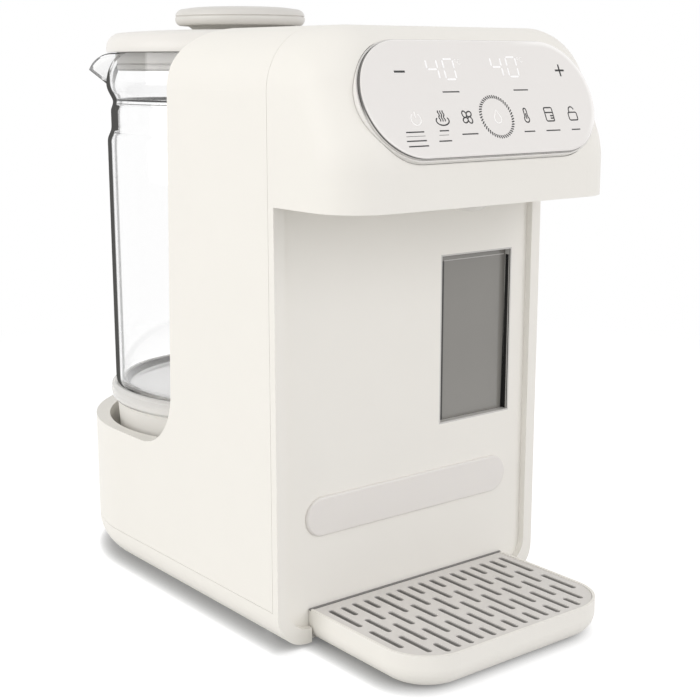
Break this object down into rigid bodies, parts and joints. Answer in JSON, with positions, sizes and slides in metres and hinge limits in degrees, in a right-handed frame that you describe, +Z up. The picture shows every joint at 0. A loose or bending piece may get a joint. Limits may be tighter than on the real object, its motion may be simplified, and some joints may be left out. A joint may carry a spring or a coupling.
{
  "type": "baby formula maker",
  "caption": "Countertop baby formula maker: C-shaped white housing, tilted touch panel, rear glass jug in a well, bottle bay and lift-off drip tray.",
  "frame": {"origin": "on the table, at the middle of the whole footprint", "axes": "+Z up, -Y towards the front with the touch panel and drip tray, +X to the right as seen from the front"},
  "size_m": [0.17, 0.3168, 0.306],
  "materials": {
    "white_casing": "satin",
    "grey_grille": "satin",
    "cup_grey": "satin",
    "panel_glass": "gloss",
    "bezel_trim": "gloss",
    "jug_glass": "gloss",
    "clear_trim": "gloss",
    "smoked_window": "gloss",
    "dark_trim": "satin",
    "light_lens": "satin",
    "soft_seal": "matt",
    "white_moulding": "satin",
    "black_rubber": "matt",
    "black_moulding": "satin",
    "steel": "satin",
    "cast_alloy": "satin",
    "circuit_board": "satin",
    "display_black": "gloss",
    "silicone_hose": "satin"
  },
  "bodies": {
    "root": {"chassis": "white_casing", "outer_cover": "white_casing", "well_liner": "white_casing", "head_cover": "white_casing", "head_underplate": "white_casing", "control_glass": "panel_glass", "control_bezel": "bezel_trim", "inner_tank": "clear_trim", "level_window": "smoked_window", "window_frame": "dark_trim", "night_light_lens": "light_lens", "coupling_seal": "soft_seal", "inner_tank_seal": "soft_seal", "seat_ring": "soft_seal", "boss_brackets": "white_moulding", "well_legs": "white_moulding", "nozzle": "white_moulding", "inner_tank_lid": "white_moulding", "water_coupling": "white_moulding", "base_feet": "black_rubber", "pump_housing": "black_moulding", "pump_bracket": "black_moulding", "fan_frame": "black_moulding", "board_posts": "black_moulding", "mains_inlet": "black_moulding", "cover_screws": "steel", "board_screws": "steel", "pump_motor": "steel", "tank_heater": "cast_alloy", "thermostat": "cast_alloy", "control_board": "circuit_board", "night_light_board": "circuit_board", "power_board": "circuit_board", "display_modules": "display_black", "supply_hose": "silicone_hose", "feed_hose": "silicone_hose", "delivery_hose": "silicone_hose"},
    "jug": {"jug_glass": "jug_glass", "jug_base": "cup_grey", "jug_riser": "white_moulding", "jug_collar": "clear_trim", "valve_body": "white_moulding", "valve_retainer": "white_moulding", "valve_spring": "steel"},
    "valve": {"valve_plunger": "white_moulding", "valve_washer": "soft_seal"},
    "lid": {"jug_lid": "white_casing", "lid_seal": "soft_seal", "lid_knob": "white_casing", "knob_screw": "steel"},
    "tray": {"drip_tray": "white_casing"},
    "grille": {"drip_grille": "grey_grille"},
    "fan": {"fan_rotor": "black_moulding"},
    "pump": {"pump_rotor": "black_moulding"}
  },
  "joints": [
    {"name": "jug_lift", "type": "slide", "parent": "root", "child": "jug", "axis": [0, 0, 1], "range_m": [0, 0.06]},
    {"name": "lid_lift", "type": "slide", "parent": "jug", "child": "lid", "axis": [0, 0, 1], "range_m": [0, 0.045]},
    {"name": "valve_stroke", "type": "slide", "parent": "jug", "child": "valve", "axis": [0, 0, 1], "range_m": [0, 0.003], "stiffness_N_per_m": 60, "springref_m": -0.002, "deforming": ["valve_spring"]},
    {"name": "tray_pull", "type": "slide", "parent": "root", "child": "tray", "axis": [0, -1, 0], "range_m": [0, 0.07]},
    {"name": "grille_lift", "type": "slide", "parent": "tray", "child": "grille", "axis": [0, 0, 1], "range_m": [0, 0.025]},
    {"name": "fan_spin", "type": "hinge", "parent": "root", "child": "fan", "pos_m": [0, 0.1, 0.014], "axis": [0, 0, 1], "continuous": true},
    {"name": "pump_spin", "type": "hinge", "parent": "root", "child": "pump", "pos_m": [-0.03, -0.045, 0.027], "axis": [1, 0, 0], "continuous": true}
  ]
}
